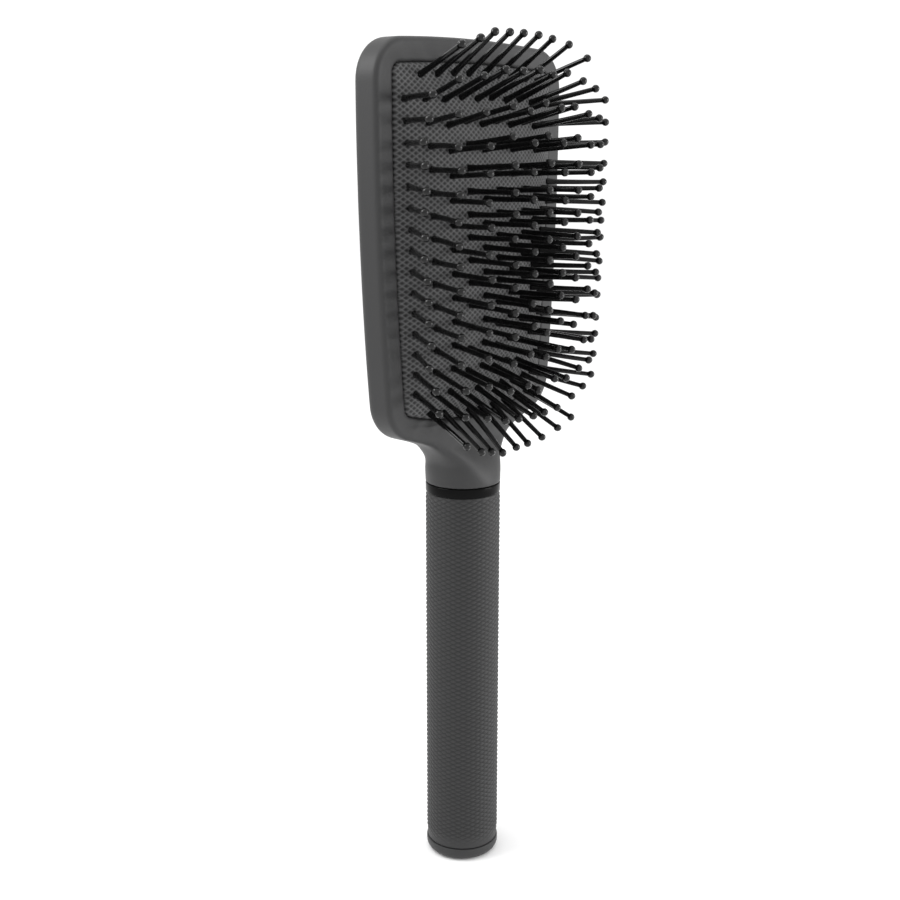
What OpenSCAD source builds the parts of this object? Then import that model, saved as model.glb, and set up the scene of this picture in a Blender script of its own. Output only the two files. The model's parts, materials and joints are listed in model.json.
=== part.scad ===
// Paddle brush: a flat moulded head with a domed rubber cushion full of ball-tipped pins,
// on a straight round handle with a ribbed rubber grip. Millimetres, +Z from the end cap
// up to the head, pins facing -Y, origin at the middle of the end cap's underside.

/* [Handle] */
// Radius of the grip, the ring and the end cap
grip_r = 11.4; // [10.4:0.1:12.4]
// Height at which the rubber grip ends, above the underside of the end cap
grip_top = 119.7; // [90:1:135]
// Height of the end cap's visible part
cap_h = 4; // [3:0.5:6]
// Rounding of the end cap's lower edge
cap_round = 2.6; // [1:0.1:2.8]
// Height of the glossy ring under the neck
ring_h = 2.8; // [2:0.1:4]
// Thickness of the rubber grip's wall
grip_wall = 1.9; // [1.2:0.1:2.4]
// Radius of the head's tang, which plugs into the handle core
tang_r = 6.6; // [5:0.1:6.9]
// Length of the tang below the neck
tang_len = 40; // [20:1:60]

/* [Head] */
// Half width of the cushion opening at its top corners
open_top = 36; // [34:0.5:38]
// Half width of the cushion opening at its bottom corners
open_bottom = 31.9; // [30:0.5:34]
// Height of the cushion opening at its corners
open_h = 94.9; // [90:1:100]
// Width of the frame border round the opening
border = 6.5; // [5:0.1:7]
// Depth of the head's front face in front of the handle axis
face_y = 4.7; // [4.2:0.1:5.2]
// Rounding of the front edge
front_round = 1.5; // [0.8:0.1:2]
// Rounding of the back edge
back_round = 2.5; // [1.5:0.1:3]
// Height of the gently domed back over its own edge
back_dome = 1.8; // [1:0.1:2.5]

/* [Cushion] */
// Height of the cushion's crown over its rim
dome_h = 8; // [6:0.5:9]
// Thickness of the rubber
rubber = 1.2; // [1:0.1:1.4]
// Radius of the holes that the pin stems pass through
hole_r = 0.7; // [0.65:0.01:0.8]

/* [Pins] */
// Distance between columns of pins at mid height
pin_pitch = 6.27; // [6:0.01:6.4]
// Length from the rubber's surface to the middle of the ball tip
pin_len = 17.2; // [14:0.2:20]
// Radius of a pin at its root
pin_r = 0.72; // [0.6:0.01:0.8]
// Radius of the ball tip
ball_r = 1.15; // [0.9:0.01:1.25]
// Number of pins in the columns that reach the end rows at full count
long_column = 16; // [12:1:16]

/* [Hidden] */
$fn = 64;

// Small working gaps
gap = 0.1;
fit_gap = 0.05;

// Heights along the handle, bottom to top
ring_z = grip_top + gap;
neck_z = ring_z + ring_h + gap;
core_r = grip_r - grip_wall - fit_gap;
plug_len = 12;
neck_rise = 20;
neck_flare = 11.5;

// Cushion opening: bottom and top corner heights and the middle of the pin field
open_z0 = neck_z + 25.6;
open_z1 = open_z0 + open_h;
field_z = open_z0 + 46;
half_field = 50;

// Outline normals, in degrees: the sides lean out to the top and bow, the ends bow
side_up = 0.5;
side_down = -5.5;
top_bow = 3.5;
bottom_bow = 15.5;
open_corner = 3;
outer_corner = 11.5;

// Depths along Y, front to back (the pins face -Y)
lip_y = -face_y + 1.6;
flange_y = lip_y + rubber;
side_end_y = 1.5;
edge_y = side_end_y + back_round;
cover_y = 1.4;

// Growth of each pocket outline over the opening
flange_out = 2;
cover_out = 3.4;
skirt_gap = 0.25;

// Cushion dome: its rim level and the exponents of its cross sections
dome_y = -4.95;
dome_half = 34.6;
dome_px = 2.8;
dome_pz = 4.56;
taper = 0.079;

// Pin field: end rows, the two short outer columns, and how far pins lean past the slope
row_top = field_z + 47;
row_bottom = field_z - 47.7;
outer_top = field_z + 39.7;
outer_bottom = field_z - 40;
outer_step = 6.18;
top_curve = 1.33;
bottom_curve = 1.94;
curve_power = 1.4;
lean_x = 1.46;
lean_z = 1.3;
boss_r = 1.05;
boss_h = 1.1;
head_r = 1.2;
head_t = 0.7;
columns = 11;
middle = 5;

// Bands of pins that press in together, by how high their root stands on the dome
BANDS = [0.9, 0.74, 0.54, 0.3, -1];

// ---- Outlines in the X-Z plane ----

// Unit vector at an angle
function dir(a) = [cos(a), sin(a)];

// The four corners, counter-clockwise from bottom right: point, first and last normal
function corners() = [
    [[open_bottom, open_z0], -90 + bottom_bow, side_down],
    [[open_top, open_z1], side_up, 90 - top_bow],
    [[-open_top, open_z1], 90 + top_bow, 180 - side_up],
    [[-open_bottom, open_z0], 180 - side_down, 270 - bottom_bow]];

// A corner moved outward by g, along both of its sides' normals
function grown(c, g) = c[0] + g * (dir(c[1]) + dir(c[2])) / (1 + dir(c[1]) * dir(c[2]));

function arc(c, g, r, n = 6) =
    let (m = grown(c, g - r))
    [for (i = [0:n]) m + r * dir(c[1] + (c[2] - c[1]) * i / n)];

// Crossing of the tangents at p (normal angle a) and q (normal angle b)
function crossing(p, a, q, b) =
    let (ca = dir(a) * p, cb = dir(b) * q)
    [ca * sin(b) - cb * sin(a), cb * cos(a) - ca * cos(b)] / sin(b - a);

// Points between p and q on the curve that leaves both along their tangents
function bowed(p, a, q, b, n = 10) =
    let (m = crossing(p, a, q, b))
    [for (i = [1:n-1]) let (t = i / n) (1-t) * (1-t) * p + 2 * t * (1-t) * m + t * t * q];

// The opening's outline grown by g, with corner radius r
function outline(g, r) =
    let (c = corners())
    [for (k = [0:3])
        let (c0 = c[k], c1 = c[(k + 1) % 4], a0 = arc(c0, g, r), a1 = arc(c1, g, r))
        each concat(a0, bowed(a0[len(a0) - 1], c0[2], a1[0], c1[1]))];

// Extrudes a grown outline from depth y0 back to y1
module prism(g, r, y0, y1) {
    translate([0, y1, 0]) rotate([90, 0, 0]) linear_extrude(y1 - y0) polygon(outline(g, r));
}

// ---- Lofts ----

function at_depth(points, y) = [for (p = points) [p[0], y, p[1]]];

function shrunk(points, s) =
    let (m = [0, (open_z0 + open_z1) / 2])
    [for (p = points) m + s * (p - m)];

// Closed skin over rings of equal length, with flat ends
module loft(rings) {
    n = len(rings[0]);
    last = len(rings) - 1;
    sides = [for (k = [0:last-1], i = [0:n-1])
        let (a = k * n + i, b = k * n + (i + 1) % n)
        each [[a, b, b + n], [a, b + n, a + n]]];
    ends = [[for (i = [n-1:-1:0]) i], [for (i = [0:n-1]) last * n + i]];
    polyhedron(points = [for (r = rings) each r], faces = concat(sides, ends));
}

// ---- Cushion dome ----

// Half widths of the field narrow towards the handle
function width_at(z) = 1 + taper * (z - field_z) / half_field;

function clip(v) = max(0, v);

// Height of the dome over its rim level, and its slope along X and Z
function dome(x, z) =
    dome_h * clip(1 - pow(abs(x) / (dome_half * width_at(z)), dome_px))
           * clip(1 - pow(abs(z - field_z) / half_field, dome_pz));

function slope(x, z) =
    let (e = 0.05)
    [(dome(x + e, z) - dome(x - e, z)) / (2 * e), (dome(x, z + e) - dome(x, z - e)) / (2 * e)];

// ---- Pins ----

function is_outer(c) = c == 0 || c == columns - 1;

function count(c) = (is_outer(c) || c % 2 == 0) ? long_column - 1 : long_column;

function root_z(c, r) =
    let (t = r / (count(c) - 1), k = pow(pin_pitch * (c - middle) / 30, 2))
    is_outer(c) ? outer_top + (outer_bottom - outer_top) * t
                : row_top + (row_bottom - row_top) * t
                  - top_curve * k * pow(1 - t, curve_power) + bottom_curve * k * pow(t, curve_power);

function root_x(c, z) =
    width_at(z) * (is_outer(c) ? sign(c - middle) * (pin_pitch * (middle - 1) + outer_step)
                               : pin_pitch * (c - middle));

// Which band a pin belongs to, 0 at the crown and 4 at the edge
function band(f, k = 0) = f >= BANDS[k] ? k : band(f, k + 1);

// Which side of the field a pin is on: 0 upper, 1 left, 2 right, 3 lower
function side(x, z) =
    let (u = x / dome_half, v = (z - field_z) / half_field)
    abs(v) > abs(u) ? (v > 0 ? 0 : 3) : (x < 0 ? 1 : 2);

// The crown band is cut across into thirds instead
function third(z) =
    let (v = (z - field_z) / half_field)
    v > 0.22 ? 0 : v < -0.22 ? 2 : 1;

module pin(x, z) {
    s = slope(x, z);
    lean = [-s[0] * lean_x, -1, -s[1] * lean_z];
    // Turn +Z onto the lean
    tilt = acos(lean[2] / norm(lean));
    turn = atan2(lean[1], lean[0]);
    translate([x, dome_y - dome(x, z), z]) rotate([0, tilt, turn]) {
        // Shaft, tapering slightly to the tip
        cylinder(r1 = pin_r, r2 = pin_r * 0.88, h = pin_len);
        translate([0, 0, pin_len]) sphere(r = ball_r);
        // Boss on the outside of the rubber, stem through it, head behind it
        translate([0, 0, 0.35]) cylinder(r1 = boss_r, r2 = pin_r, h = boss_h);
        translate([0, 0, -rubber - 0.9]) cylinder(r = hole_r - fit_gap, h = rubber + 1.3);
        translate([0, 0, -rubber - 0.4 - head_t]) cylinder(r = head_r, h = head_t);
    }
}

// All pins of one band and one part of the field
module pins(k, part) {
    color([0.08, 0.08, 0.09])
    for (c = [0:columns-1], r = [0:count(c)-1]) {
        z = root_z(c, r);
        x = root_x(c, z);
        b = band(dome(x, z) / dome_h);
        if (b == k && part == (k == 0 ? third(z) : side(x, z))) pin(x, z);
    }
}

// The same roots as a set of bores for the stems, square to the lean
module stem_holes() {
    for (c = [0:columns-1], r = [0:count(c)-1]) {
        z = root_z(c, r);
        x = root_x(c, z);
        s = slope(x, z);
        lean = [-s[0] * lean_x, -1, -s[1] * lean_z];
        translate([x, dome_y - dome(x, z), z])
        rotate([0, acos(lean[2] / norm(lean)), atan2(lean[1], lean[0])])
        translate([0, 0, -4]) cylinder(r = hole_r / cos(22.5), h = 6, $fn = 8);
    }
}

// ---- Head ----

// How far up the back's dome a point is, 0 at the edges and 1 in the middle
function crown(p) =
    let (u = p[0] / (open_top + border), v = (p[1] - (open_z0 + open_z1) / 2) / (open_h / 2 + border + 3))
    clip(1 - u * u) * clip(1 - v * v);

// Outside of the head: front fillet, side wall, back fillet, domed back
module head_solid() {
    steps = 4;
    rim = outline(border - back_round, outer_corner - back_round);
    loft([
        for (i = [0:steps]) let (a = 90 * i / steps)
            at_depth(outline(border - front_round * (1 - sin(a)), outer_corner - front_round * (1 - sin(a))),
                     -face_y + front_round * (1 - cos(a))),
        for (i = [0:steps]) let (a = 90 * i / steps)
            at_depth(outline(border - back_round * (1 - cos(a)), outer_corner - back_round * (1 - cos(a))),
                     side_end_y + back_round * sin(a)),
        for (s = [0.9, 0.78, 0.62, 0.45, 0.27])
            [for (p = shrunk(rim, s)) [p[0], edge_y + back_dome * crown(p), p[1]]],
        at_depth(shrunk(rim, 0.1), edge_y + back_dome)]);
}

// One level of the neck: round at the ring, wide and flat where it meets the head
function neck_ring(t) =
    let (n = 48,
         u = min(t / 0.9, 1),
         e = u * u * (3 - 2 * u),
         v = clip((t - 0.3) / 0.7),
         wide = grip_r + neck_flare * v * v * (3 - 2 * v),
         front = -grip_r + (grip_r - face_y) * e,
         back = grip_r - (grip_r - edge_y - 0.6) * e,
         p = 2 / (2 + 3 * e))
    [for (i = [0:n-1])
        let (a = -360 * i / n)
        [wide * sign(cos(a)) * pow(abs(cos(a)), p),
         (front + back) / 2 + (back - front) / 2 * sign(sin(a)) * pow(abs(sin(a)), p),
         neck_z + neck_rise * t]];

module neck_solid() {
    loft([for (t = [0, 0.08, 0.18, 0.28, 0.4, 0.52, 0.64, 0.76, 0.86, 0.94, 1]) neck_ring(t)]);
}

// Head and neck in one moulding, open at the front for the cushion and behind for the cover
module head_body() {
    color([0.16, 0.16, 0.17]) {
        difference() {
            union() {
                head_solid();
                neck_solid();
            }
            prism(0, open_corner, -face_y - 1, lip_y + 0.5);
            prism(flange_out, open_corner + flange_out, lip_y, cover_y + 0.5);
            prism(cover_out, open_corner + cover_out, cover_y, 8);
        }
        // Tang that plugs into the handle core
        translate([0, 0, neck_z - tang_len]) cylinder(r = tang_r, h = tang_len + 1);
    }
}

// Domed cover let into the back of the head
module back_cover() {
    color([0.16, 0.16, 0.17])
    intersection() {
        head_solid();
        prism(cover_out - gap, open_corner + cover_out - gap, cover_y + gap, 8);
    }
}

// Frame that holds the rubber's flange against the lip
module clamp_frame() {
    color([0.2, 0.2, 0.21])
    difference() {
        prism(flange_out - gap, open_corner + flange_out - gap, flange_y, cover_y);
        prism(-1.6, 1.4, flange_y - 1, cover_y + 1);
    }
}

// Domed rubber with a skirt through the opening and a flange behind the lip
module cushion_rubber() {
    skirt = outline(-skirt_gap, open_corner - skirt_gap);
    inner = outline(-skirt_gap - rubber, 1.6);
    levels = [0.05, 0.2, 0.35, 0.5, 0.62, 0.73, 0.82, 0.9, 0.96];
    outer_rings = [for (s = levels) [for (p = shrunk(skirt, s)) [p[0], dome_y - dome(p[0], p[1]), p[1]]]];
    inner_rings = [for (s = levels) [for (p = shrunk(inner, s)) [p[0], dome_y - dome(p[0], p[1]) + rubber, p[1]]]];
    last = len(levels) - 1;
    inner_rim = [for (p = inner) [p[0], dome_y - dome(p[0], p[1]) + rubber, p[1]]];
    color([0.24, 0.24, 0.25])
    difference() {
        loft(concat(
            outer_rings,
            [at_depth(skirt, -face_y + 0.4), at_depth(skirt, lip_y + gap),
             at_depth(outline(flange_out - gap, open_corner + flange_out - gap), lip_y + gap),
             at_depth(outline(flange_out - gap, open_corner + flange_out - gap), flange_y),
             at_depth(inner, flange_y), inner_rim],
            [for (k = [last:-1:0]) inner_rings[k]]));
        stem_holes();
    }
}

// ---- Handle ----

module collar_ring() {
    color([0.05, 0.05, 0.06])
    translate([0, 0, ring_z])
    difference() {
        cylinder(r = grip_r, h = ring_h);
        translate([0, 0, -1]) cylinder(r = tang_r + fit_gap, h = ring_h + 2);
    }
}

module handle_core() {
    color([0.2, 0.2, 0.21])
    translate([0, 0, cap_h + gap])
    difference() {
        cylinder(r = core_r, h = grip_top - cap_h - gap);
        translate([0, 0, -1]) cylinder(r = tang_r + fit_gap, h = grip_top - cap_h + 2);
    }
}

module grip_sleeve() {
    color([0.26, 0.26, 0.27])
    translate([0, 0, cap_h + gap])
    difference() {
        cylinder(r = grip_r, h = grip_top - cap_h - gap);
        translate([0, 0, -1]) cylinder(r = core_r + fit_gap, h = grip_top - cap_h + 2);
    }
}

// Cap with a rounded lower edge and a plug that goes up into the core
module end_cap() {
    color([0.14, 0.14, 0.15]) {
        rotate_extrude() {
            square([grip_r - cap_round, cap_h]);
            translate([0, cap_round]) square([grip_r, cap_h - cap_round]);
            translate([grip_r - cap_round, cap_round]) intersection() {
                circle(r = cap_round);
                translate([0, -cap_round]) square(cap_round);
            }
        }
        cylinder(r = tang_r, h = cap_h + plug_len);
    }
}

head_body();
back_cover();
clamp_frame();
cushion_rubber();
collar_ring();
handle_core();
grip_sleeve();
end_cap();
pins(0, 0);  // pins_crown_upper
pins(0, 1);  // pins_crown_middle
pins(0, 2);  // pins_crown_lower
pins(1, 0);  // pins_inner_upper
pins(1, 1);  // pins_inner_left
pins(1, 2);  // pins_inner_right
pins(1, 3);  // pins_inner_lower
pins(2, 0);  // pins_middle_upper
pins(2, 1);  // pins_middle_left
pins(2, 2);  // pins_middle_right
pins(2, 3);  // pins_middle_lower
pins(3, 0);  // pins_outer_upper
pins(3, 1);  // pins_outer_left
pins(3, 2);  // pins_outer_right
pins(3, 3);  // pins_outer_lower
pins(4, 0);  // pins_edge_upper
pins(4, 1);  // pins_edge_left
pins(4, 2);  // pins_edge_right
pins(4, 3);  // pins_edge_lower
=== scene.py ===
"""The looks of the paddle brush: soft-touch head, hatched rubber cushion, glossy pins, ribbed grip."""

import json
import math
import random

import bmesh
import bpy
import numpy as np
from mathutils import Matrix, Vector


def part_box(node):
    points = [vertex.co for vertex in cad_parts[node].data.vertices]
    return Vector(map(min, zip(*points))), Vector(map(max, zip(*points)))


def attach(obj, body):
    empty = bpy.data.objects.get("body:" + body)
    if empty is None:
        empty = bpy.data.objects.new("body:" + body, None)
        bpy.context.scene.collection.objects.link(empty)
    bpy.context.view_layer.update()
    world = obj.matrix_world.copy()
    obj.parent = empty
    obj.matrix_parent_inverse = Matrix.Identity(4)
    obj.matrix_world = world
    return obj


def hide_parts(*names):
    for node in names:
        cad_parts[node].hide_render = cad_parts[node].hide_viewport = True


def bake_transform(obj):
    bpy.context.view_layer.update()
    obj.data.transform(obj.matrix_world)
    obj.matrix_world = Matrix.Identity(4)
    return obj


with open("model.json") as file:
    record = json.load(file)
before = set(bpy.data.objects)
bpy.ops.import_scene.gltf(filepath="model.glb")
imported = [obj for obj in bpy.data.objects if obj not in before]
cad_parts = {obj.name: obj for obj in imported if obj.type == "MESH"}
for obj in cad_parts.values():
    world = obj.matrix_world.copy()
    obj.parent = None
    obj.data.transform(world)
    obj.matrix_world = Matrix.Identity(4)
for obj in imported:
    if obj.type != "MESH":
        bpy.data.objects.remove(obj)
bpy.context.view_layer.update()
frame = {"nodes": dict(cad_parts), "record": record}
MM = 0.001

# ---- Places and sizes, in millimetres, from the frame ----


def box_mm(node):
    low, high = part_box(node)
    return np.array(low) / MM, np.array(high) / MM


HEAD_LOW, HEAD_HIGH = box_mm("head_body")
RING_LOW, RING_HIGH = box_mm("collar_ring")
GRIP_LOW, GRIP_HIGH = box_mm("grip_sleeve")
CAP_LOW, CAP_HIGH = box_mm("end_cap")
PAD_LOW, _ = box_mm("cushion_rubber")

GRIP_R = RING_HIGH[0]
GAP = 0.1
NECK_Z = RING_HIGH[2] + GAP
NECK_RISE = 20.0
NECK_FLARE = 11.5
BORDER = 6.5
OUTER_CORNER = 11.5
OPEN_CORNER = 3.0
FRONT_ROUND = 1.5
BACK_ROUND = 2.5
OPEN_Z0 = NECK_Z + 25.6
OPEN_Z1 = OPEN_Z0 + 94.9
OPEN_TOP = 36.0
OPEN_BOTTOM = 31.9
FACE_Y = 4.7
LIP_Y = -3.1
COVER_Y = 1.4
EDGE_Y = 4.0
BACK_DOME = 1.8
FIELD_Z = OPEN_Z0 + 46.0
HALF_FIELD = 50.0
DOME_Y = -4.95
DOME_H = DOME_Y - PAD_LOW[1]
DOME_HALF = 34.6
DOME_POWER_X = 2.8
DOME_POWER_Z = 4.56
TAPER = 0.079
TANG_R = 6.6
RUBBER_WALL = 1.85


# ---- Outline of the cushion opening, grown for everything round it ----


def direction(degrees):
    a = math.radians(degrees)
    return np.array([math.cos(a), math.sin(a)])


CORNERS = [
    (np.array([OPEN_BOTTOM, OPEN_Z0]), -74.5, -5.5),
    (np.array([OPEN_TOP, OPEN_Z1]), 0.5, 86.5),
    (np.array([-OPEN_TOP, OPEN_Z1]), 93.5, 179.5),
    (np.array([-OPEN_BOTTOM, OPEN_Z0]), 185.5, 254.5),
]


def outline(grow, radius, arc_steps=14, side_steps=24):
    """Closed outline in X and Z: four rounded corners joined by gently bowed sides."""
    arcs = []
    for point, first, last in CORNERS:
        a, b = direction(first), direction(last)
        middle = point + (grow - radius) * (a + b) / (1 + a @ b)
        arcs.append([middle + radius * direction(first + (last - first) * i / arc_steps)
                     for i in range(arc_steps + 1)])
    points = []
    for k in range(4):
        here, there = arcs[k], arcs[(k + 1) % 4]
        p, q = here[-1], there[0]
        a, b = direction(CORNERS[k][2]), direction(CORNERS[(k + 1) % 4][1])
        turn = a[0] * b[1] - a[1] * b[0]
        pull = np.array([(a @ p) * b[1] - (b @ q) * a[1], (b @ q) * a[0] - (a @ p) * b[0]]) / turn
        points += here
        for i in range(1, side_steps):
            t = i / side_steps
            points.append((1 - t) ** 2 * p + 2 * t * (1 - t) * pull + t * t * q)
    return np.array(points)


def signed_distance(points, loop):
    """Distance from each point to a closed loop, negative inside."""
    best = np.full(len(points), 1e9)
    inside = np.zeros(len(points), bool)
    for a, b in zip(loop, np.roll(loop, -1, axis=0)):
        edge = b - a
        along = np.clip(((points - a) @ edge) / (edge @ edge), 0, 1)
        best = np.minimum(best, np.linalg.norm(points - a - along[:, None] * edge, axis=1))
        crosses = (a[1] > points[:, 1]) != (b[1] > points[:, 1])
        if edge[1] != 0:
            inside ^= crosses & (points[:, 0] < a[0] + (points[:, 1] - a[1]) * edge[0] / edge[1])
    return np.where(inside, -best, best)


def dome(x, z):
    """Height of the cushion over its rim level."""
    wide = 1 + TAPER * (z - FIELD_Z) / HALF_FIELD
    across = np.clip(1 - (np.abs(x) / (DOME_HALF * wide)) ** DOME_POWER_X, 0, None)
    along = np.clip(1 - (np.abs(z - FIELD_Z) / HALF_FIELD) ** DOME_POWER_Z, 0, None)
    return DOME_H * across * along


# ---- Mesh helpers ----


def new_object(name, vertices, faces, smooth=True):
    """Object from vertices in millimetres."""
    mesh = bpy.data.meshes.new(name)
    mesh.from_pydata((np.asarray(vertices) * MM).tolist(), [], [list(f) for f in faces])
    mesh.validate()
    if smooth:
        mesh.shade_smooth()
    obj = bpy.data.objects.new(name, mesh)
    bpy.context.scene.collection.objects.link(obj)
    return obj


def both(a, b, radius):
    """Intersection of two distance fields with a rounded edge."""
    u, v = a + radius, b + radius
    return np.minimum(np.maximum(u, v), 0) + np.hypot(np.maximum(u, 0), np.maximum(v, 0)) - radius


def either(a, b, reach):
    """Union of two distance fields, blended where they meet."""
    h = np.clip(0.5 + 0.5 * (b - a) / reach, 0, 1)
    return b * (1 - h) + a * h - reach * h * (1 - h)


def surface_net(field, low, step):
    """Quads over the zero level of a field sampled on a grid: one point in each cell that it crosses."""
    shape = np.array(field.shape)
    total = np.zeros(tuple(shape - 1) + (3,), np.float32)
    hits = np.zeros(tuple(shape - 1), np.float32)
    cuts = []
    for axis in range(3):
        a = np.take(field, range(shape[axis] - 1), axis)
        b = np.take(field, range(1, shape[axis]), axis)
        cut = (a < 0) != (b < 0)
        t = np.where(cut, a / np.where(cut, a - b, 1), 0)
        u, v = [k for k in range(3) if k != axis]
        cuts.append((cut, a < 0))
        for du in (0, 1):
            for dv in (0, 1):
                part = [slice(None)] * 3
                part[u] = slice(du, shape[u] - 1 + du)
                part[v] = slice(dv, shape[v] - 1 + dv)
                c = cut[tuple(part)]
                hits += c
                total[..., axis] += t[tuple(part)]
                total[..., u] += du * c
                total[..., v] += dv * c
    live = hits > 0
    index = np.full(live.shape, -1)
    index[live] = np.arange(live.sum())
    points = (np.argwhere(live) + total[live] / hits[live][:, None]) * step + np.array(low)
    quads = []
    for axis, (cut, solid_first) in enumerate(cuts):
        u, v = [k for k in range(3) if k != axis]
        where = np.argwhere(cut)
        where = where[(where[:, u] > 0) & (where[:, u] < shape[u] - 1)
                      & (where[:, v] > 0) & (where[:, v] < shape[v] - 1)]
        ring = []
        for du, dv in ((-1, -1), (0, -1), (0, 0), (-1, 0)):
            cell = where.copy()
            cell[:, u] += du
            cell[:, v] += dv
            ring.append(index[tuple(cell.T)])
        ring = np.stack(ring, 1)
        flip = ~solid_first[tuple(where.T)] ^ (axis == 1)
        ring[flip] = ring[flip][:, ::-1]
        quads.append(ring)
    return points, np.concatenate(quads)


def lathe(name, profile, steps=96):
    """Turned piece from (radius, height) points in millimetres, closed at both ends on the axis."""
    rings = [(r, z) for r, z in profile if r > 0]
    ends = [z for r, z in profile if r <= 0]
    angles = np.arange(steps) * 2 * math.pi / steps
    vertices = [(r * math.cos(a), r * math.sin(a), z) for r, z in rings for a in angles]
    faces = [(k * steps + i, k * steps + (i + 1) % steps,
              (k + 1) * steps + (i + 1) % steps, (k + 1) * steps + i)
             for k in range(len(rings) - 1) for i in range(steps)]
    if ends:
        last = (len(rings) - 1) * steps
        vertices += [(0, 0, ends[0]), (0, 0, ends[-1])]
        bottom, top = len(vertices) - 2, len(vertices) - 1
        faces += [((i + 1) % steps, i, bottom) for i in range(steps)]
        faces += [(last + i, last + (i + 1) % steps, top) for i in range(steps)]
    else:
        last = (len(rings) - 1) * steps
        faces += [(last + i, last + (i + 1) % steps, (i + 1) % steps, i) for i in range(steps)]
    return new_object(name, vertices, faces)


# ---- Materials ----

CLOUD_SCALE = 60
POLISH_SPREAD = 0.04
BLUE_CAST = 1.02
GRAIN_HEIGHT = 0.00015

# Net on the cushion: its repeat along X and Z, and the painted shade in its pits; diamonds on the grip:
# their height and number around, and the painted shade in the grooves between them, which fades in above
# the grip's bottom end
HATCH_X = 2.1
HATCH_Z = 1.6
PIT_SHADE_POWER = 0.6
PIT_PAINTED_SHADE = 0.98
RIB_RISE = 1.43
RIB_COUNT = 23
GROOVE_SHADE_POWER = 0.5
GROOVE_PAINTED_SHADE = 0.65
GROOVE_SHADE_START = 0.001
GROOVE_SHADE_FULL = 0.005


def material(name, colour, roughness, bump=0.0, grain=900.0, sheen=0.0, mottling=0.06, gloss=0.5):
    """Principled material with a fine moulded grain and a faint unevenness of colour and polish."""
    mat = bpy.data.materials.new(name)
    mat.use_nodes = True
    nodes, links = mat.node_tree.nodes, mat.node_tree.links
    shader = nodes["Principled BSDF"]
    place = nodes.new("ShaderNodeTexCoord")
    cloud = nodes.new("ShaderNodeTexNoise")
    cloud.inputs["Scale"].default_value = CLOUD_SCALE
    cloud.inputs["Detail"].default_value = 4
    links.new(place.outputs["Object"], cloud.inputs["Vector"])
    tone = nodes.new("ShaderNodeValToRGB")
    for element, factor in zip(tone.color_ramp.elements, (1 - mottling, 1 + mottling)):
        element.color = (colour * factor, colour * factor, colour * factor * BLUE_CAST, 1)
    links.new(cloud.outputs["Fac"], tone.inputs["Fac"])
    links.new(tone.outputs["Color"], shader.inputs["Base Color"])
    polish = nodes.new("ShaderNodeMapRange")
    polish.inputs["To Min"].default_value = roughness - POLISH_SPREAD
    polish.inputs["To Max"].default_value = roughness + POLISH_SPREAD
    links.new(cloud.outputs["Fac"], polish.inputs["Value"])
    links.new(polish.outputs["Result"], shader.inputs["Roughness"])
    speck = nodes.new("ShaderNodeTexNoise")
    speck.inputs["Scale"].default_value = grain
    speck.inputs["Detail"].default_value = 3
    links.new(place.outputs["Object"], speck.inputs["Vector"])
    relief = nodes.new("ShaderNodeBump")
    relief.inputs["Strength"].default_value = bump
    relief.inputs["Distance"].default_value = GRAIN_HEIGHT
    links.new(speck.outputs["Fac"], relief.inputs["Height"])
    links.new(relief.outputs["Normal"], shader.inputs["Normal"])
    shader.inputs["Sheen Weight"].default_value = sheen
    shader.inputs["Specular IOR Level"].default_value = gloss
    return mat


def math_node(tree, operation, *values):
    """Math node whose inputs are links or plain numbers."""
    node = tree.nodes.new("ShaderNodeMath")
    node.operation = operation
    for socket, value in zip(node.inputs, values):
        if isinstance(value, (int, float)):
            socket.default_value = value
        else:
            tree.links.new(value, socket)
    return node.outputs["Value"]


def paint_lattice_shade(mat, across, along, power, inverse, depth):
    """Paints shade into a material's colour where |cos(pi (a + b)) cos(pi (a - b))| is high, or where it is
    low if inverse.
    """
    tree = mat.node_tree
    waves = []
    for operation in ("ADD", "SUBTRACT"):
        phase = math_node(tree, "MULTIPLY", math_node(tree, operation, across, along), math.pi)
        waves.append(math_node(tree, "COSINE", phase))
    level = math_node(tree, "ABSOLUTE", math_node(tree, "MULTIPLY", *waves))
    level = math_node(tree, "POWER", level, power)
    if inverse:
        level = math_node(tree, "SUBTRACT", 1.0, level)
    keep = math_node(tree, "SUBTRACT", 1.0, math_node(tree, "MULTIPLY", level, depth))
    shader = tree.nodes["Principled BSDF"]
    tone = shader.inputs["Base Color"].links[0].from_socket
    mix = tree.nodes.new("ShaderNodeVectorMath")
    mix.operation = "SCALE"
    tree.links.new(tone, mix.inputs["Vector"])
    tree.links.new(keep, mix.inputs["Scale"])
    tree.links.new(mix.outputs["Vector"], shader.inputs["Base Color"])


def object_axes(mat):
    """Object coordinates along X, Y and Z, in metres."""
    tree = mat.node_tree
    place = tree.nodes.new("ShaderNodeTexCoord")
    split = tree.nodes.new("ShaderNodeSeparateXYZ")
    tree.links.new(place.outputs["Object"], split.inputs["Vector"])
    return split.outputs["X"], split.outputs["Y"], split.outputs["Z"]


SOFT_TOUCH = material("soft_touch_black", 0.027, 0.5, bump=0.25, grain=2600, sheen=0.03, gloss=0.3)
INNER = material("inner_plastic", 0.03, 0.5, bump=0.2)
RUBBER = material("cushion_rubber_black", 0.09, 0.55, bump=0.3, grain=2200, sheen=0.03, gloss=0.3)
GRIP = material("grip_rubber_black", 0.028, 0.55, bump=0.35, grain=2600, sheen=0.03, gloss=0.3)
GLOSS = material("gloss_ring_black", 0.003, 0.14, bump=0.02, gloss=0.06)
NYLON = material("pin_nylon_black", 0.003, 0.12, bump=0.03, grain=1400, gloss=0.32)


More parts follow.
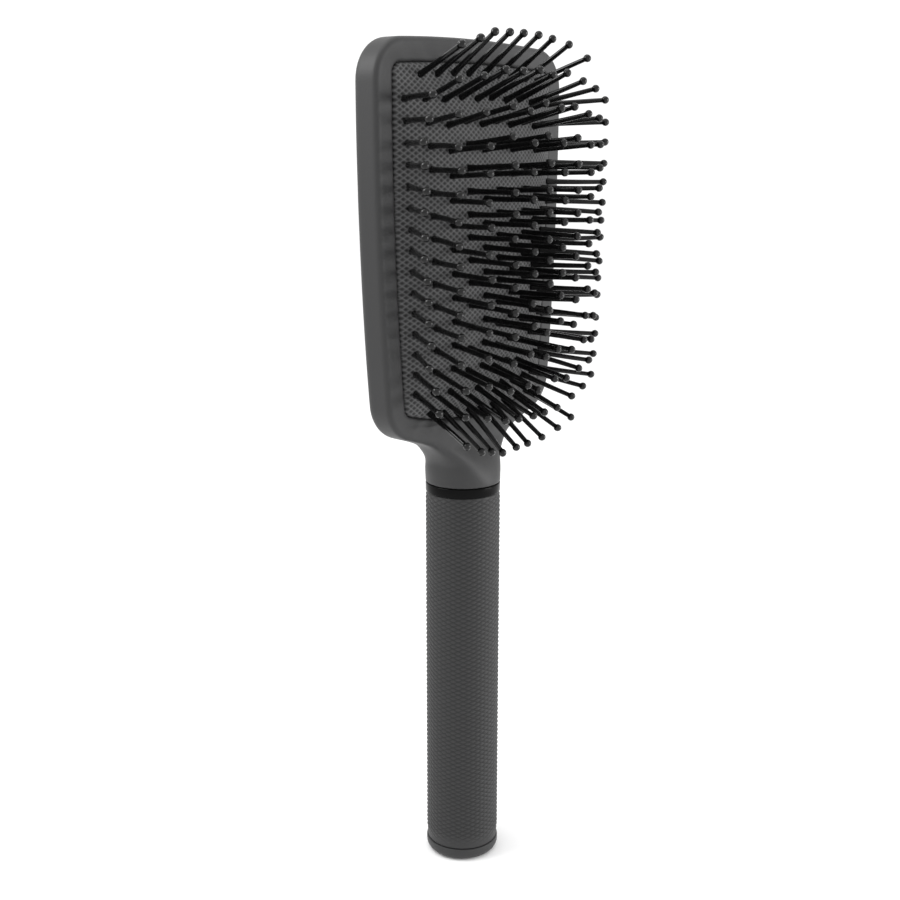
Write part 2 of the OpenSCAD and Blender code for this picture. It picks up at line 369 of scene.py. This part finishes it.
def paint_pit_and_groove_shade():
    """Painted shade in the pits of the cushion's net and in the grooves between the grip's diamonds."""
    net = RUBBER.node_tree
    x, _, z = object_axes(RUBBER)
    across = math_node(net, "DIVIDE", x, HATCH_X * MM)
    along = math_node(net, "DIVIDE", z, HATCH_Z * MM)
    # Painted shade: darkens the pits between the raised threads of the cushion's net
    paint_lattice_shade(RUBBER, across, along, PIT_SHADE_POWER, False, PIT_PAINTED_SHADE)
    ribs = GRIP.node_tree
    x, y, z = object_axes(GRIP)
    turn = math_node(ribs, "ARCTAN2", y, x)
    height = math_node(ribs, "SUBTRACT", z, GRIP_LOW[2] * MM)
    # The painted groove shade fades in between 1 and 5 mm above the grip's bottom end
    depth = ribs.nodes.new("ShaderNodeMapRange")
    depth.inputs["From Min"].default_value = GROOVE_SHADE_START
    depth.inputs["From Max"].default_value = GROOVE_SHADE_FULL
    depth.inputs["To Max"].default_value = GROOVE_PAINTED_SHADE
    ribs.links.new(height, depth.inputs["Value"])
    across = math_node(ribs, "MULTIPLY", turn, RIB_COUNT / (2 * math.pi))
    along = math_node(ribs, "DIVIDE", height, RIB_RISE * MM)
    # Painted shade: darkens the grooves between the grip's raised diamonds
    paint_lattice_shade(GRIP, across, along, GROOVE_SHADE_POWER, True, depth.outputs["Result"])


paint_pit_and_groove_shade()


def wear(obj, mat, slot_name, body, *nodes):
    """Gives a piece its material and its body, and hides the CAD nodes it stands for; slot_name is not
    used.
    """
    obj.data.materials.clear()
    obj.data.materials.append(mat)
    if body:
        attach(obj, body)
    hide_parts(*nodes)


# ---- Camera, light and floor ----

CAMERA_LENS = 51.42
CAMERA_PLACE = (-0.2987, -0.2336, 0.2227)
CAMERA_DIP = 13.44
CAMERA_TURN = 51.38
STUDIO_WHITE = 1.12
FLOOR_WHITE = 0.93
FLOOR_HALF = 4000


def make_camera():
    data = bpy.data.cameras.new("camera")
    data.sensor_width = 36
    data.lens = CAMERA_LENS
    camera = bpy.data.objects.new("camera", data)
    camera.location = CAMERA_PLACE
    camera.rotation_euler = (math.radians(90 - CAMERA_DIP), 0, math.radians(-CAMERA_TURN))
    bpy.context.scene.collection.objects.link(camera)
    bpy.context.scene.camera = camera


def area_light(name, place, target, size, power):
    data = bpy.data.lights.new(name, "AREA")
    data.shape = "SQUARE"
    data.size = size
    data.energy = power
    light = bpy.data.objects.new(name, data)
    light.location = place
    light.visible_camera = False
    light.rotation_euler = (Vector(target) - Vector(place)).to_track_quat("-Z", "Y").to_euler()
    bpy.context.scene.collection.objects.link(light)


def make_studio():
    world = bpy.data.worlds.new("studio")
    world.use_nodes = True
    background = world.node_tree.nodes["Background"]
    background.inputs["Color"].default_value = (1, 1, 1, 1)
    background.inputs["Strength"].default_value = STUDIO_WHITE
    bpy.context.scene.world = world
    bpy.context.scene.view_settings.view_transform = "Standard"
    middle = (0, 0, 0.15)
    area_light("left_softbox", (-0.24, 0.19, 0.42), (0, 0, 0.22), 0.2, 0.9)
    area_light("right_softbox", (0.45, -0.75, 0.25), middle, 0.4, 4)
    area_light("top_softbox", (-0.1, 0.1, 1.2), middle, 0.7, 2.5)
    half = FLOOR_HALF
    corners = [(-half, -half, 0), (half, -half, 0), (half, half, 0), (-half, half, 0)]
    floor = new_object("floor", corners, [(0, 1, 2, 3)], smooth=False)
    mat = bpy.data.materials.new("pale_floor")
    mat.use_nodes = True
    shader = mat.node_tree.nodes["Principled BSDF"]
    shader.inputs["Base Color"].default_value = (FLOOR_WHITE, FLOOR_WHITE, FLOOR_WHITE, 1)
    shader.inputs["Roughness"].default_value = 0.9
    floor.data.materials.append(mat)


# ---- Head and back cover ----

HEAD_STEP = 0.45
COVER_OUT = 3.4
COVER_GAP = 0.15
FLANGE_OUT = 2.0
BACK_REACH_X = 41
BACK_REACH_Z = 56
LIP_ROUND = 0.5
COVER_ROUND = 0.4
NECK_BACK_IN = 0.6
NECK_EDGE = 0.35
NECK_FILLET = 3.0


def head_grid(step, low, high):
    """Grid coordinates in millimetres, and a function for the distance to a grown outline in plan."""
    axes = [np.arange(a, b + step, step) for a, b in zip(low, high)]
    x, y, z = np.meshgrid(*axes, indexing="ij", sparse=True)
    flat_x, flat_z = np.meshgrid(axes[0], axes[2], indexing="ij")
    plan = np.stack([flat_x.ravel(), flat_z.ravel()], 1)

    def plan_distance(grow, radius):
        return signed_distance(plan, outline(grow, radius)).reshape(flat_x.shape)[:, None, :]

    return x, y, z, plan_distance


def head_outside(x, y, z, plan_distance):
    """Outside of head and neck: soft front edge, rounder back edge, domed back, flared neck."""
    edge = plan_distance(BORDER, OUTER_CORNER)
    middle = (OPEN_Z0 + OPEN_Z1) / 2
    crown = (1 - (x / BACK_REACH_X) ** 2) * (1 - ((z - middle) / BACK_REACH_Z) ** 2)
    back = EDGE_Y + BACK_DOME * np.clip(crown, 0, 1)
    head = np.maximum(both(edge, -FACE_Y - y, FRONT_ROUND), both(edge, y - back, BACK_ROUND))
    t = np.clip((z - NECK_Z) / NECK_RISE, 0, 1)
    u = np.clip(t / 0.9, 0, 1)
    ease = u * u * (3 - 2 * u)
    v = np.clip((t - 0.3) / 0.7, 0, 1)
    wide = GRIP_R + NECK_FLARE * v * v * (3 - 2 * v)
    front = -GRIP_R + (GRIP_R - FACE_Y) * ease
    rear = GRIP_R - (GRIP_R - EDGE_Y - NECK_BACK_IN) * ease
    power = 2 + 3 * ease
    deep = (rear - front) / 2
    level = ((np.abs(x) / wide) ** power + (np.abs(y - (front + rear) / 2) / deep) ** power) ** (1 / power)
    neck = (level - 1) * deep
    neck = both(neck, NECK_Z - z, NECK_EDGE)
    neck = np.maximum(neck, z - (NECK_Z + NECK_RISE))
    return either(head, neck, NECK_FILLET)


def make_head():
    low = (HEAD_LOW[0] - 1, -GRIP_R - 1, NECK_Z - 1)
    high = (HEAD_HIGH[0] + 1, GRIP_R + 1, HEAD_HIGH[2] + 1)
    x, y, z, plan_distance = head_grid(HEAD_STEP, low, high)
    solid = head_outside(x, y, z, plan_distance)
    solid = both(solid, -plan_distance(0, OPEN_CORNER), LIP_ROUND)
    flange = plan_distance(FLANGE_OUT, OPEN_CORNER + FLANGE_OUT)
    solid = np.maximum(solid, -np.maximum(flange, LIP_Y - y))
    recess = plan_distance(COVER_OUT, OPEN_CORNER + COVER_OUT)
    solid = np.maximum(solid, -np.maximum(recess, COVER_Y - y))
    points, quads = surface_net(solid.astype(np.float32), low, HEAD_STEP)
    head = new_object("head_shell", points, quads)
    wear(head, SOFT_TOUCH, "soft_touch", "brush", "head_body")


def make_back_cover():
    low = (HEAD_LOW[0] + 1, COVER_Y - 1, OPEN_Z0 - 12)
    high = (HEAD_HIGH[0] - 1, EDGE_Y + BACK_DOME + 1, HEAD_HIGH[2] - 1)
    x, y, z, plan_distance = head_grid(HEAD_STEP, low, high)
    outside = head_outside(x, y, z, plan_distance)
    grow = COVER_OUT - COVER_GAP
    cover = both(outside, plan_distance(grow, OPEN_CORNER + grow), COVER_ROUND)
    cover = np.maximum(cover, COVER_Y + GAP - y)
    points, quads = surface_net(cover.astype(np.float32), low, HEAD_STEP)
    piece = new_object("back_plate", points, quads)
    wear(piece, SOFT_TOUCH, "soft_touch", "brush", "back_cover")


# ---- Cushion ----

PAD_STEP = 0.22
HATCH_DEPTH = 0.25
HATCH_FADE = 1.2
PIT_SHAPE = 0.8
SKIRT_GAP = 0.25
SKIRT_ROLL = 0.9
SKIRT_DEPTH = 3.0


def hatch(x, z):
    """1 on the raised diagonal threads of the rubber's texture, 0 in the pits between them."""
    across, along = x / HATCH_X, z / HATCH_Z
    pit = np.abs(np.cos(math.pi * (across + along)) * np.cos(math.pi * (across - along)))
    return 1 - pit ** PIT_SHAPE


def make_cushion():
    """Height-field skin of the cushion over its outline, with a skirt that drops behind the lip."""
    xs = np.arange(-OPEN_TOP - 2, OPEN_TOP + 2 + PAD_STEP, PAD_STEP)
    zs = np.arange(OPEN_Z0 - 7, OPEN_Z1 + 3 + PAD_STEP, PAD_STEP)
    x, z = np.meshgrid(xs, zs, indexing="ij")
    plan = np.stack([x.ravel(), z.ravel()], 1)
    loop = outline(-SKIRT_GAP, OPEN_CORNER - SKIRT_GAP)
    depth = -signed_distance(plan, loop)
    keep = depth.reshape(x.shape) > 0
    cells = keep[:-1, :-1] & keep[1:, :-1] & keep[1:, 1:] & keep[:-1, 1:]
    index = np.arange(x.size).reshape(x.shape)
    quads = np.stack([index[:-1, :-1], index[1:, :-1], index[1:, 1:], index[:-1, 1:]], -1)[cells]
    used, quads = np.unique(quads, return_inverse=True)
    quads = quads.reshape(-1, 4)
    plan, depth = plan[used], depth[used]
    # The outermost points move out onto the skirt's outline
    edge_uses = np.zeros(len(used), int)
    np.add.at(edge_uses, quads.ravel(), 1)
    edge = np.roll(loop, -1, axis=0) - loop
    for i in np.flatnonzero(edge_uses < 4):
        along = np.clip(((plan[i] - loop) * edge).sum(1) / (edge ** 2).sum(1), 0, 1)
        nearest = loop + along[:, None] * edge
        plan[i] = nearest[np.argmin(np.linalg.norm(nearest - plan[i], axis=1))]
        depth[i] = 0
    height = dome(plan[:, 0], plan[:, 1])
    fade = np.clip(depth / HATCH_FADE, 0, 1)
    relief = HATCH_DEPTH * (hatch(plan[:, 0], plan[:, 1]) - 1) * fade
    inset = np.clip(SKIRT_ROLL - depth, 0, SKIRT_ROLL)
    rounding = SKIRT_ROLL - np.sqrt(SKIRT_ROLL ** 2 - inset ** 2)
    y = DOME_Y - height - relief + rounding
    points = np.stack([plan[:, 0], y, plan[:, 1]], 1)
    cushion = new_object("cushion_pad", points, quads)
    close_skirt(cushion, LIP_Y + SKIRT_DEPTH)
    wear(cushion, RUBBER, "cushion", None, "cushion_rubber")
    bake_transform(cushion)


def close_skirt(obj, floor_y):
    """Draws the open rim straight back to floor_y and closes it there."""
    bm = bmesh.new()
    bm.from_mesh(obj.data)
    rim = [e for e in bm.edges if e.is_boundary]
    new = bmesh.ops.extrude_edge_only(bm, edges=rim)["geom"]
    for v in (g for g in new if isinstance(g, bmesh.types.BMVert)):
        v.co.y = floor_y * MM
    bmesh.ops.holes_fill(bm, edges=[e for e in bm.edges if e.is_boundary])
    bmesh.ops.recalc_face_normals(bm, faces=bm.faces)
    bm.to_mesh(obj.data)
    bm.free()
    obj.data.shade_smooth()


# ---- Pins ----

PIN_SIDES = 14
BALL_R = 1.15
BEHIND = 2.3
BEND = 0.35
BANDS = ("crown", "inner", "middle", "outer", "edge")


def loose_parts(obj):
    """Vertex coordinates, in millimetres, of each separate solid in a node."""
    count = len(obj.data.vertices)
    co = np.empty(count * 3)
    obj.data.vertices.foreach_get("co", co)
    co = np.round(co.reshape(-1, 3) / MM, 4)
    unique, same = np.unique(co, axis=0, return_inverse=True)
    same = same.ravel()
    label = np.arange(len(unique))
    edges = np.empty(len(obj.data.edges) * 2, int)
    obj.data.edges.foreach_get("vertices", edges)
    a, b = same[edges.reshape(-1, 2)].T
    while True:
        low = np.minimum(label[a], label[b])
        after = label.copy()
        np.minimum.at(after, a, low)
        np.minimum.at(after, b, low)
        after = after[after]
        if (after == label).all():
            break
        label = after
    return [unique[label == k] for k in np.unique(label)]


def pin_axis(points):
    """Middle of the head's underside and of the ball's far pole: a pin's two ends."""
    centre = points.mean(0)
    axis = np.linalg.svd(points - centre, full_matrices=False)[2][0]
    if axis[1] > 0:
        axis = -axis
    for _ in range(3):
        along = (points - centre) @ axis
        bottom = points[along < along.min() + 0.05].mean(0)
        top = points[np.argmax(along)]
        axis = (top - bottom) / np.linalg.norm(top - bottom)
    return bottom, top


def pin_profile(length):
    """(distance from the rubber's surface, radius) from the head behind the rubber to the ball's pole."""
    behind = [(-BEHIND, 0.3), (-BEHIND, 1.25), (-1.65, 1.25), (-1.6, 0.62), (-0.4, 0.62)]
    boss = [(-0.2, 1.0), (0.3, 1.0), (0.8, 0.97), (1.6, 0.9), (2.8, 0.82)]
    shaft = [(length * 0.35, 0.77), (length * 0.6, 0.73), (length * 0.8, 0.7), (length - 1.25, 0.68)]
    ball = [(length + BALL_R * math.sin(a), BALL_R * math.cos(a))
            for a in np.radians([-52, -38, -22, -6, 10, 26, 42, 58, 72, 83])]
    return behind + boss + shaft + ball


def pin_mesh(bottom, top, rng):
    """One nylon pin along its CAD axis, with the slight bend of a moulded bristle."""
    whole = np.linalg.norm(top - bottom)
    axis = (top - bottom) / whole
    length = whole - BEHIND - BALL_R
    root = bottom + axis * BEHIND
    side = np.cross(axis, (0, 0, 1))
    side /= np.linalg.norm(side)
    up = np.cross(side, axis)
    sway = rng.gauss(0, BEND) * side + rng.gauss(0, BEND) * up
    profile = pin_profile(length)
    vertices = []
    for s, r in profile:
        t = max(s, 0) / length
        middle = root + axis * s + sway * t * t
        for k in range(PIN_SIDES):
            a = 2 * math.pi * k / PIN_SIDES
            vertices.append(middle + r * (math.cos(a) * side + math.sin(a) * up))
    n = PIN_SIDES
    faces = [(j * n + k, (j + 1) * n + k, (j + 1) * n + (k + 1) % n, j * n + (k + 1) % n)
             for j in range(len(profile) - 1) for k in range(n)]
    faces.append(tuple(range(n)))
    faces.append(tuple(range(len(profile) * n - 1, (len(profile) - 1) * n - 1, -1)))
    return vertices, faces


def make_pins():
    rng = random.Random(7)
    for band in BANDS:
        for node in frame["record"]["behaviour"]["bodies"][band + "_pins"]:
            vertices, faces = [], []
            for points in loose_parts(frame["nodes"][node]):
                more, new_faces = pin_mesh(*pin_axis(points), rng)
                faces += [tuple(i + len(vertices) for i in f) for f in new_faces]
                vertices += more
            piece = new_object("nylon_" + node, vertices, faces)
            fix_normals(piece)
            wear(piece, NYLON, "pin_nylon", band + "_pins", node)


def fix_normals(obj):
    bm = bmesh.new()
    bm.from_mesh(obj.data)
    bmesh.ops.recalc_face_normals(bm, faces=bm.faces)
    bm.to_mesh(obj.data)
    bm.free()


# ---- Handle ----

RIB_HEIGHT = 0.34
RIB_SHAPE = 0.6
GRIP_ROUND = 0.35
RING_ROUND = 0.3
CAP_ROUND = 2.6
PLUG_R = 6.6
STEPS_AROUND = 14
STEPS_UP = 10


def make_grip():
    """Rubber sleeve covered in raised, staggered diamonds."""
    low, high = GRIP_LOW[2], GRIP_HIGH[2]
    around = RIB_COUNT * STEPS_AROUND
    rows = int((high - low) / RIB_RISE * STEPS_UP)
    angle = np.arange(around) * 2 * math.pi / around
    height = np.linspace(low, high, rows + 1)
    a, z = np.meshgrid(angle * RIB_COUNT / (2 * math.pi), height)
    b = (z - low) / RIB_RISE
    diamond = np.abs(np.cos(math.pi * (a + b)) * np.cos(math.pi * (a - b))) ** RIB_SHAPE
    fade = np.clip((z - low - 1.2) / 3, 0, 1) * np.clip((high - z - 0.4) / 0.8, 0, 1)
    edge = np.minimum(z - low, high - z)
    rounding = GRIP_ROUND * np.clip(1 - edge / GRIP_ROUND, 0, 1) ** 2
    radius = GRIP_R - RIB_HEIGHT * (1 - diamond * fade) - rounding
    x = radius * np.cos(angle)[None, :]
    y = radius * np.sin(angle)[None, :]
    outside = np.stack([x, y, z], -1).reshape(-1, 3)
    inner = GRIP_R - RUBBER_WALL
    vertices = np.concatenate([
        outside,
        np.stack([inner * np.cos(angle), inner * np.sin(angle), np.full(around, high)], 1),
        np.stack([inner * np.cos(angle), inner * np.sin(angle), np.full(around, low)], 1)])
    faces = []
    rings = rows + 3
    for k in range(rings):
        for i in range(around):
            j = (i + 1) % around
            faces.append((k * around + i, k * around + j,
                          (k + 1) % rings * around + j, (k + 1) % rings * around + i))
    grip = new_object("grip_rubber_sleeve", vertices, faces)
    wear(grip, GRIP, "grip_rubber", "brush", "grip_sleeve")


def rounded_edge(r, z, radius, first, last, steps=5):
    """Arc of a lathe profile about (r, z), between two angles in degrees."""
    return [(r + radius * math.cos(math.radians(first + (last - first) * i / steps)),
             z + radius * math.sin(math.radians(first + (last - first) * i / steps)))
            for i in range(steps + 1)]


def make_ring():
    low, high = RING_LOW[2], RING_HIGH[2]
    e = RING_ROUND
    hole = TANG_R + 0.05
    profile = (rounded_edge(GRIP_R - e, low + e, e, -90, 0) + rounded_edge(GRIP_R - e, high - e, e, 0, 90)
               + [(hole, high), (hole, low)])
    ring = lathe("gloss_ring", profile, 128)
    wear(ring, GLOSS, "gloss_ring", "brush", "collar_ring")


def make_cap():
    low, top = CAP_LOW[2], GRIP_LOW[2] - GAP
    e = CAP_ROUND
    plug = CAP_HIGH[2]
    profile = ([(0, low), (4.0, low)] + rounded_edge(GRIP_R - e, low + e, e, -90, 0, 10)
               + rounded_edge(GRIP_R - 0.25, top - 0.25, 0.25, 0, 90)
               + [(PLUG_R, top), (PLUG_R, plug - 0.5), (PLUG_R - 0.5, plug), (0, plug)])
    cap = lathe("cap_shell", profile, 128)
    wear(cap, SOFT_TOUCH, "soft_touch", "brush", "end_cap")


def dress_inner_parts():
    """The CAD shapes that stay as they are get the inner plastic's finish."""
    for node in ("clamp_frame", "handle_core"):
        data = frame["nodes"][node].data
        data.materials.clear()
        data.materials.append(INNER)


make_camera()
make_studio()
make_head()
make_back_cover()
make_cushion()
make_pins()
make_grip()
make_ring()
make_cap()
dress_inner_parts()
